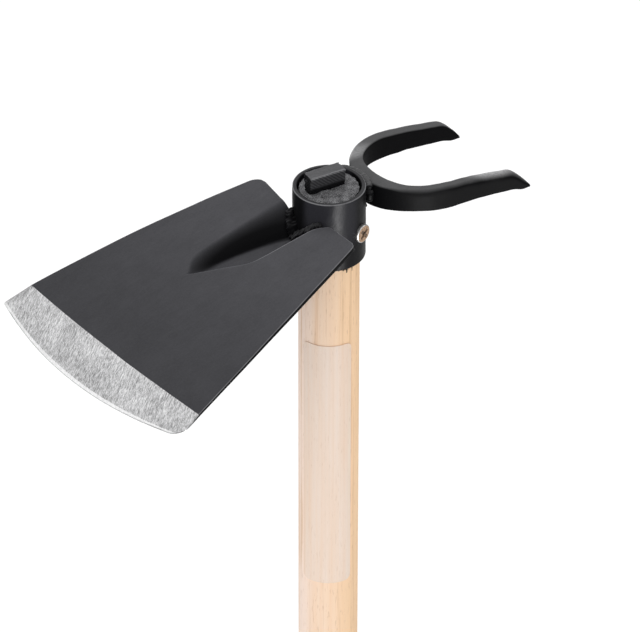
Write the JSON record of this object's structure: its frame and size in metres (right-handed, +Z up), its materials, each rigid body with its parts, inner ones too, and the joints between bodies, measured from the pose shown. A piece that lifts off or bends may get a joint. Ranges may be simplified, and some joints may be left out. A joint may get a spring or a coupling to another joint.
{
  "type": "combination hoe",
  "caption": "Long-handled combination hoe with a broad channelled blade and an opposed two-tined fork on a wedged tube collar.",
  "frame": {"origin": "centre of the small flat at the butt of the handle", "axes": "+Z up along the handle to the head, +X from the handle towards the fork, -X towards the blade, +Y across the blade"},
  "size_m": [0.3016, 0.1635, 1.3108],
  "materials": {
    "wood": "smooth sanded beech",
    "wedge": "matt black paint over sawn wood",
    "black_paint": "satin black paint",
    "blade_paint": "satin dark grey paint, bare ground edge",
    "zinc": "zinc plated",
    "film": "clear film, bare"
  },
  "bodies": {
    "root": {"handle": "wood", "handle_wedge": "wedge", "socket_collar": "black_paint", "hoe_blade": "blade_paint", "fork": "black_paint", "fixing_screw": "zinc", "blade_weld_upper": "black_paint", "blade_weld_under": "black_paint", "fork_weld_upper": "black_paint", "fork_weld_under": "black_paint", "fork_weld_left": "black_paint", "fork_weld_right": "black_paint", "label_film": "film"}
  },
  "joints": []
}
